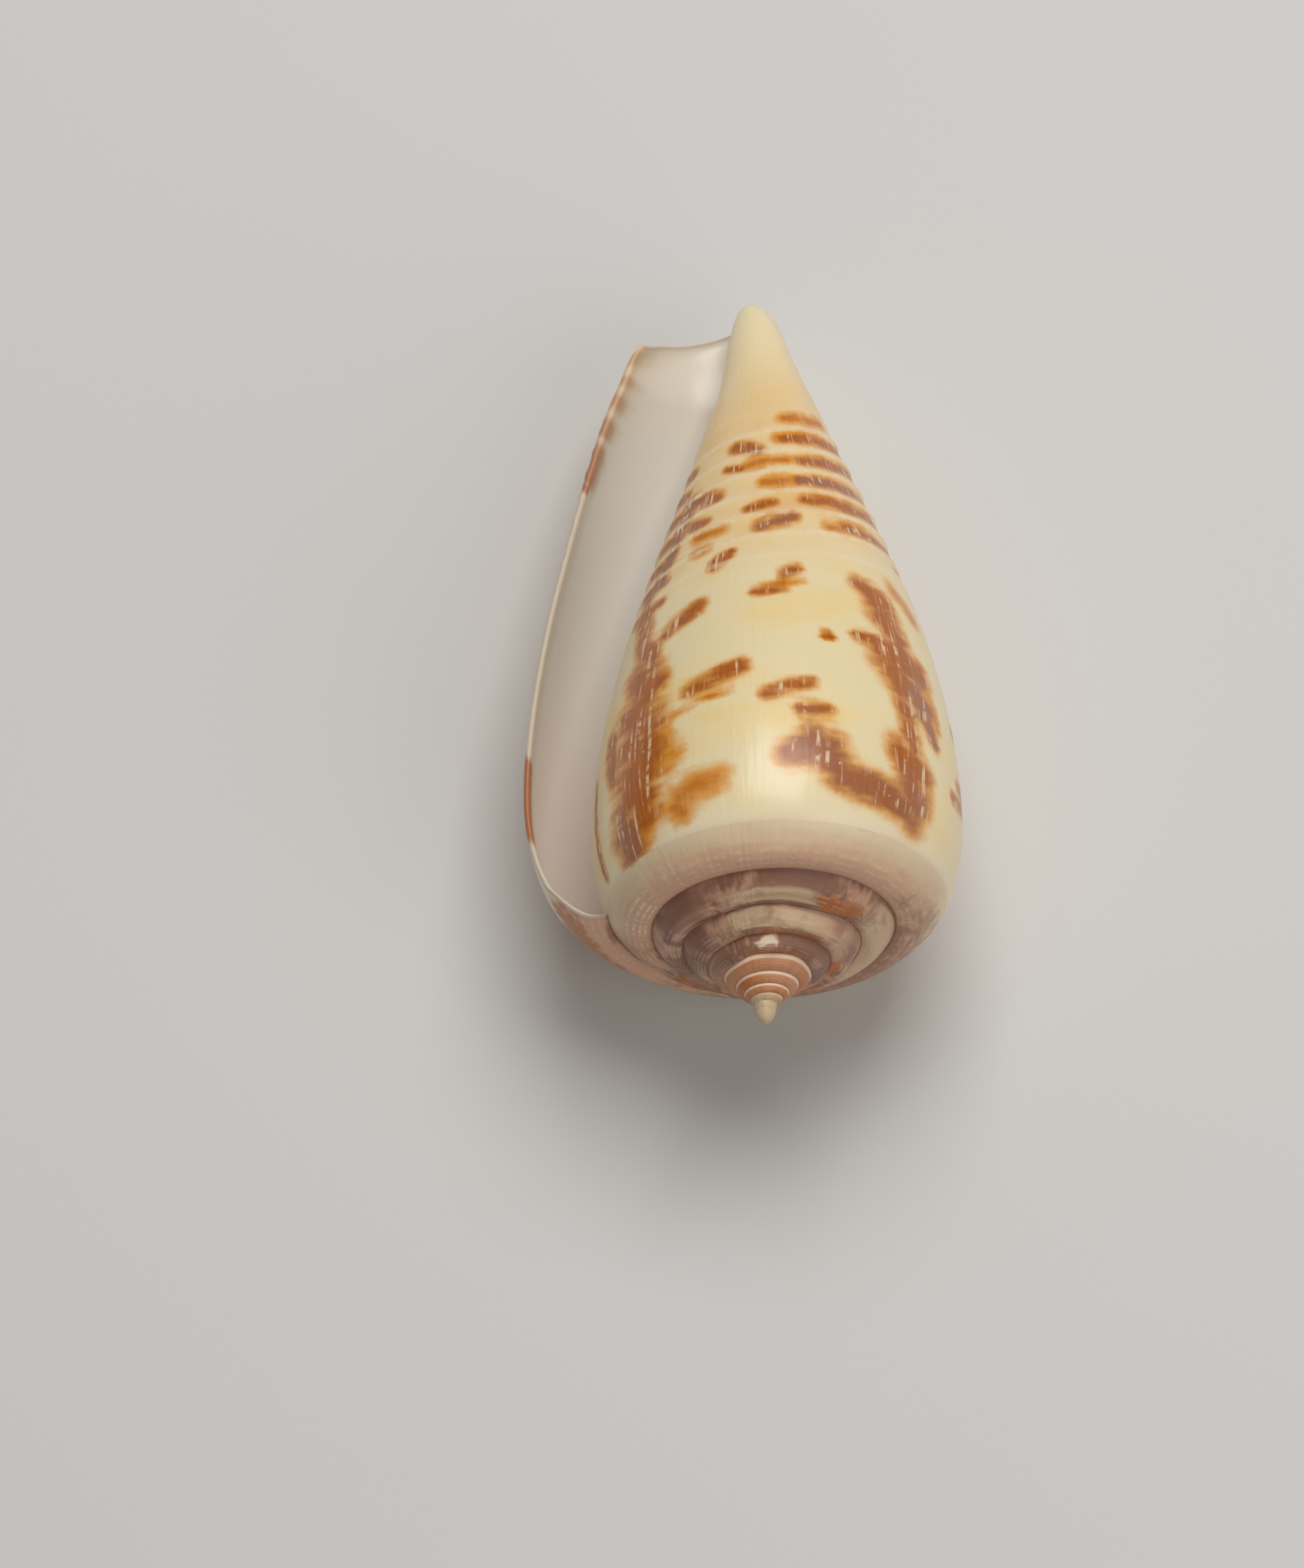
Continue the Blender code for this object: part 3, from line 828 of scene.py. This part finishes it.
# %% Ground colour
clouds = glaze.grain(around * 0.16, across * 0.30, 3.0)
front_share = across.up_from(19.5, 25.0)
ground = glaze.mix(clouds.up_from(0.46, 0.72) * 0.7, CREAM, BUTTER)
wash = glaze.grain(around * 0.28, across * 0.9, 4.0, 20.0)
worn = wash - 0.5
scuffs = glaze.grain(around * 1.3, across * 1.9, 4.0, 27.0) - 0.5
ramp_tint = glaze.mix((along + worn * 0.5 + scuffs * 0.3).up_from(0.38, 0.98), MAUVE, SAND)
ramp_tint = glaze.mix((along + worn * 0.3).up_from(0.62, 1.35), ramp_tint, SHOULDER)
ground = glaze.mix(along.down_from(1.0, 1.7), ground, ramp_tint)
ground = glaze.mix(front_share * 0.8, ground, FRONT)
amber_wash = front_share * across.down_from(28.0, 33.0) * clouds.up_from(0.44, 0.70) * 0.35
ground = glaze.mix(amber_wash, ground, AMBER_TINT)
ground = glaze.mix(across.up_from(32.0, 37.0), ground, TIP)

# %% [markdown]
# Flames. Noise drawn out around the shell tears the edges of the strokes into
# dashes, and each keeps an amber halo. Fine streaks along the growth lines cut
# through the brown and leave it in broken threads.

# %% Flames and streaks
tears = glaze.grain(around * 0.6, across * 1.25, 2.0, 3.0) - 0.5
crumbs = glaze.grain(around * 2.4, across * 2.6, 3.0, 5.0) - 0.5
torn = brown + tears * 0.9 + crumbs * 0.3
halo = torn.up_from(-0.08, 0.56) * brown.up_from(0.0, 0.4)
core = torn.up_from(0.30, 0.84) * brown.up_from(0.12, 0.5)
amber_torn = amber + tears * 0.8 + crumbs * 0.3
patch = amber_torn.up_from(0.1, 0.7) * amber.up_from(0.02, 0.3)
patch_core = amber_torn.up_from(0.6, 0.95)
lines = glaze.grain(around * 4.6, across * 0.28, 2.0, 9.0)
broken = glaze.grain(around * 1.6, across * 1.7, 3.0, 12.0)
streak = lines.up_from(0.54, 0.64) * broken.up_from(0.42, 0.56)
beads = glaze.grain(around * 5.0, across * 3.0, 1.0, 15.0).up_from(0.70, 0.80) * brown.up_from(0.5, 0.9)
plum_share = (violet_and_shade + tears * 0.6).up_from(0.2, 0.75)
flame = glaze.mix(plum_share, FLAME, PLUM)
flame = glaze.mix(lines.up_from(0.42, 0.58) * 0.4 * (1.0 - plum_share * 0.7), flame, DARK_AMBER)
body = glaze.mix(patch * 0.85, ground, AMBER_TINT)
body = glaze.mix(patch * patch_core * 0.8, body, DARK_AMBER)
body = glaze.mix(halo * 0.75, body, AMBER_TINT)
body = glaze.mix(core * 0.94, body, flame)
body = glaze.mix(streak * (0.12 + 0.55 * core), body, STREAK)
body = glaze.mix(beads * 0.55, body, STREAK)
rib_phase = (across - RIBS_FROM - 0.5 * RIB_PITCH) * (2.0 * math.pi / RIB_PITCH)
rib_crest = rib_phase.math("COSINE").up_from(0.55, 0.98)
rib_line = rib_crest * across.up_from(19.0, 23.0) * across.down_from(29.5, 32.0)
beading = turn.down_from(-0.86, -0.80) * glaze.grain(around * 4.4, across * 0.5, 0.0, 17.0).up_from(0.45, 0.6)
body = glaze.mix(rib_line * (0.22 + 0.34 * broken.up_from(0.4, 0.6) + 0.4 * beading), body, STREAK)

# %% [markdown]
# The ramp of the last whorl is mauve next to the suture and sandy towards the
# shoulder, with painted shade on its underside. The whorls before it are worn, with
# the patches placed above, painted shade in an open gap in one suture and a white
# chip. The early whorls are tan with a pale thread at the rim, and the first one is ivory.

# %% Ramps and sutures
last_whorl = turn.up_from(-1.06, -0.99)
middle_whorls = turn.up_from(-4.15, -3.85) * (1.0 - last_whorl)
middle_tint = glaze.mix(0.2 + (worn + scuffs * 0.8).up_from(-0.12, 0.16) * 0.7, MAUVE, DUSK_AND_SHADE)
early_tint = glaze.mix(wash.up_from(0.40, 0.62) * 0.4, TAN, MAUVE)
early_tint = glaze.mix(along.up_from(0.82, 0.90) * along.down_from(0.97, 1.0) * 0.9, early_tint, THREAD)
spire_tint = glaze.mix(middle_whorls, early_tint, middle_tint)
spire_tint = glaze.mix(last_whorl, spire_tint, ramp_tint)
spire_tint = glaze.mix(turn.down_from(-8.0, -7.2), spire_tint, HATCHLING)
torn_away = worn * 2.2 + scuffs * 1.8
# Dusky patches on the ramps, and painted shade on the underside of the last ramp.
dusky_and_shade = (violet_and_shade + torn_away).up_from(0.15, 1.0) * violet_and_shade.up_from(0.0, 0.3)
pale = (brown + torn_away).up_from(0.2, 0.9) * brown.up_from(0.0, 0.3)
rusty = (amber - torn_away).up_from(0.05, 0.8) * amber.up_from(0.0, 0.3)
spire_tint = glaze.mix(dusky_and_shade * 0.65, spire_tint, DUSK_AND_SHADE)
spire_tint = glaze.mix(pale * 0.9, spire_tint, PALE_WORN)
spire_tint = glaze.mix(rusty * 0.9, spire_tint, RUST)
mottle = glaze.grain(around * 1.0, across * 2.6, 5.0, 44.0)
spire_tint = glaze.mix(mottle.up_from(0.46, 0.66) * middle_whorls * 0.4, spire_tint, DUSK_AND_SHADE)

# %% [markdown]
# Growth lines cross fine spiral threads on the ramps. Where they cross, the glaze is
# paler, most of all on the ramp beside the lip.

# %% Crossed threads, the painted shade of the gap and the chip
threads = (along * (2.0 * math.pi * 7.0)).math("SINE")
growth_cut = glaze.grain(around * 3.4, across * 0.3, 1.0, 24.0)
crossings = threads.up_from(0.0, 0.9) * growth_cut.up_from(0.46, 0.58) * along.down_from(0.55, 0.85)
beside_lip = turn.up_from(-1.04, -0.98) * turn.down_from(-0.90, -0.84)
spire_tint = glaze.mix(crossings * (0.2 + 0.5 * beside_lip), spire_tint, THREAD)


def spot_mask(middle_turn, half_turn, middle_along, half_along):
    """A soft torn spot on the spire."""
    beside = (turn + scuffs * 0.08 - middle_turn).math("ABSOLUTE").down_from(half_turn * 0.4, half_turn)
    above = (along + scuffs * 0.9 - middle_along).math("ABSOLUTE").down_from(half_along * 0.5, half_along)
    return beside * above


seam = (along + worn * 0.08).down_from(0.01, 0.09) * turn.up_from(-6.5, -5.5)
spire_tint = glaze.mix(seam * 0.75, spire_tint, SUTURE_BROWN)
# Painted shade: a near black line where one suture stands open as a gap.
gap_shade = turn.up_from(-1.705, -1.68) * turn.down_from(-1.625, -1.60) * along.down_from(0.02, 0.07)
spire_tint = glaze.mix(gap_shade, spire_tint, GAP_SHADE)
spire_tint = glaze.mix(spot_mask(-3.745, 0.034, 0.74, 0.24) * 0.9, spire_tint, THREAD)
spire_tint = glaze.mix(spot_mask(-1.865, 0.022, 0.2, 0.2) * 0.8, spire_tint, SUTURE_BROWN)
spire_tint = glaze.mix(spot_mask(-1.835, 0.014, 0.16, 0.2) * 0.7, spire_tint, SUTURE_BROWN)
on_ramp = 1.0 - along.up_from(0.985, 1.02) * last_whorl
shell_tint = glaze.mix(on_ramp, body, spire_tint)

# %% [markdown]
# Inside the mouth the wall is smooth porcelain, warm white at the front, a little
# pinker towards the shoulder and darker where it narrows. The lip keeps a pale edge with
# a few brown ends of the last flames.

# %% Mouth and lip
deep = turn.down_from(-0.42, -0.12)
inside_tint = glaze.mix(across.up_from(9.0, 26.0), LAVENDER, PORCELAIN)
inside_tint = glaze.mix(deep * 0.6, inside_tint, DEEP_MOUTH)
lip_brown = (brown + tears * 0.5 + crumbs * 0.3).up_from(0.20, 0.95)
edge_tint = glaze.mix(across.up_from(26.0, 37.0), LIP_EDGE, SAND)
lip_tint = glaze.mix(lip_brown * across.down_from(24.0, 46.0) * 0.85, edge_tint, FLAME)
near_edge = turn.up_from(-0.022, -0.002) * 0.45 + lip_brown * 0.42
inside_tint = glaze.mix(near_edge, inside_tint, lip_tint)
inside_tint = glaze.mix(across.up_from(28.0, 38.0) * 0.3, inside_tint, SAND)
glazed_floor = turn.down_from(-1.03, -1.0) * turn.up_from(-2.0, -1.96) * along.up_from(1.0, 1.05)
shell_tint = glaze.mix(glazed_floor, shell_tint, LAVENDER)
shell_tint = glaze.mix(wall.up_from(0.2, 0.4), shell_tint, lip_tint)
shell_tint = glaze.mix(wall.up_from(0.6, 0.9), shell_tint, inside_tint)
glaze.put(glaze.surface.inputs["Base Color"], shell_tint)

# %% [markdown]
# Fine relief: growth lines everywhere outside, and spiral threads on the ramps. At
# a few hundredths of a millimetre they only break up the gloss, so they are bump.

# %% Fine relief and gloss
RELIEF_DEPTH = 0.00003
outside = wall.down_from(0.2, 0.6)
grown_lines = glaze.grain(around * 4.0, across * 0.3, 3.0, 40.0)
rough_ramp = threads * 0.16 + growth_cut * 0.9 + worn * 4.0 + scuffs * 3.0
rough_share = 1.0 - along.up_from(0.45, 1.30) * last_whorl
relief = (grown_lines * (0.8 + rough_share) + rough_ramp * rough_share) * outside
bumps = glaze.add("ShaderNodeBump", {}, {"Strength": 0.7, "Distance": RELIEF_DEPTH, "Height": relief})
glaze.put(glaze.surface.inputs["Normal"], bumps)
gloss = 0.27 + 0.24 * rough_share + 0.10 * wall + 0.08 * broken
glaze.put(glaze.surface.inputs["Roughness"], gloss)
glaze.surface.inputs["Coat Weight"].default_value = 0.18
glaze.surface.inputs["Coat Roughness"].default_value = 0.15
shell_data.materials.append(glaze.material)
print("glaze nodes", len(glaze.tree.nodes))

# %% [markdown]
# Floor, lights and camera. The floor is a plain pale sheet. A large soft light
# above and a little to the front gives the long soft highlight on the body whorl.
# A weaker one, set lower on the right and towards the spire, brightens the ramps.

# %% Floor
FLOOR_HALF = 0.6
FLOOR_TINT = (0.74, 0.73, 0.71, 1.0)

floor_mesh = bmesh.new()
bmesh.ops.create_grid(floor_mesh, x_segments=1, y_segments=1, size=FLOOR_HALF)
floor_data = bpy.data.meshes.new("floor")
floor_mesh.to_mesh(floor_data)
floor_mesh.free()
studio_floor = bpy.data.objects.new("studio_floor", floor_data)
bpy.context.scene.collection.objects.link(studio_floor)
floor_finish = bpy.data.materials.new("pale_paper")
floor_finish.use_nodes = True
floor_surface = floor_finish.node_tree.nodes["Principled BSDF"]
floor_surface.inputs["Base Color"].default_value = FLOOR_TINT
floor_surface.inputs["Roughness"].default_value = 0.9
floor_data.materials.append(floor_finish)

# %% Lights
SHELL_MIDDLE = (0.0, 0.0, 0.008)
KEY_PLACE = (0.04, 0.14, 0.36)
KEY_WATTS = 0.92
FILL_PLACE = (0.20, -0.18, 0.22)
FILL_WATTS = 0.26
ROOM_TINT = (0.85, 0.87, 0.9, 1.0)
ROOM_STRENGTH = 0.20


def soft_light(name, place_m, size_m, watts, colour):
    """Square area light that looks at the middle of the shell."""
    light = bpy.data.lights.new(name, "AREA")
    light.size = size_m
    light.energy = watts
    light.color = colour
    lamp = bpy.data.objects.new(name, light)
    lamp.location = place_m
    lamp.rotation_euler = (Vector(SHELL_MIDDLE) - Vector(place_m)).to_track_quat("-Z", "Y").to_euler()
    bpy.context.scene.collection.objects.link(lamp)


soft_light("key", KEY_PLACE, 0.24, KEY_WATTS, (1.0, 0.985, 0.96))
soft_light("fill", FILL_PLACE, 0.28, FILL_WATTS, (1.0, 0.985, 0.97))
world = bpy.data.worlds.new("studio")
world.use_nodes = True
world.node_tree.nodes["Background"].inputs["Color"].default_value = ROOM_TINT
world.node_tree.nodes["Background"].inputs["Strength"].default_value = ROOM_STRENGTH
bpy.context.scene.world = world
bpy.context.scene.view_settings.view_transform = "Standard"

# %% [markdown]
# The camera looks at the mouth side from the spire end, 58.65 degrees off the
# shell's axis and 356 mm away. Both were fitted to the outline in the photograph.
# The camera is worked out in the shell's own frame and laid down with the shell.

# %% Camera
VIEW_ANGLE = math.radians(58.65)
CAMERA_DISTANCE = 355.7
PIXELS_PER_MM = 28.9
IMAGE_SIZE = (1696, 2040)
TARGET = Vector((0.0, 18.4, 0.0))
TARGET_PIXEL = (985.9, 865.5)
CAMERA_ROLL = math.radians(1.225)

lay_down = Matrix.Translation(APEX_PLACE) @ Matrix.Rotation(LIFT, 4, "X")
toward = Vector((0.0, -math.cos(VIEW_ANGLE), math.sin(VIEW_ANGLE)))
right = Vector((1.0, 0.0, 0.0))
up = Vector((0.0, math.sin(VIEW_ANGLE), math.cos(VIEW_ANGLE)))
rolled_right = right * math.cos(CAMERA_ROLL) - up * math.sin(CAMERA_ROLL)
rolled_up = up * math.cos(CAMERA_ROLL) + right * math.sin(CAMERA_ROLL)
off_right = (IMAGE_SIZE[0] / 2.0 - TARGET_PIXEL[0]) / PIXELS_PER_MM
off_up = (TARGET_PIXEL[1] - IMAGE_SIZE[1] / 2.0) / PIXELS_PER_MM
aim = TARGET + rolled_right * off_right + rolled_up * off_up
eye = TARGET + toward * CAMERA_DISTANCE
back = (eye - aim).normalized()
camera_x = rolled_up.cross(back).normalized()
camera_y = back.cross(camera_x)
pose = Matrix.Identity(4)
for column, axis in enumerate((camera_x, camera_y, back)):
    for line in range(3):
        pose[line][column] = axis[line]
pose = Matrix.Translation(eye) @ pose
view = bpy.data.cameras.new("view")
view.sensor_fit = "AUTO"
view.sensor_width = 36.0
view.lens = view.sensor_width * CAMERA_DISTANCE / (IMAGE_SIZE[1] / PIXELS_PER_MM)
view.clip_start = 0.01
camera = bpy.data.objects.new("camera", view)
world_pose = lay_down @ pose
world_pose.translation = world_pose.translation * MM
camera.matrix_world = world_pose
bpy.context.scene.collection.objects.link(camera)
bpy.context.scene.camera = camera
print("camera at", [round(c, 4) for c in camera.location], "lens", round(view.lens, 1))
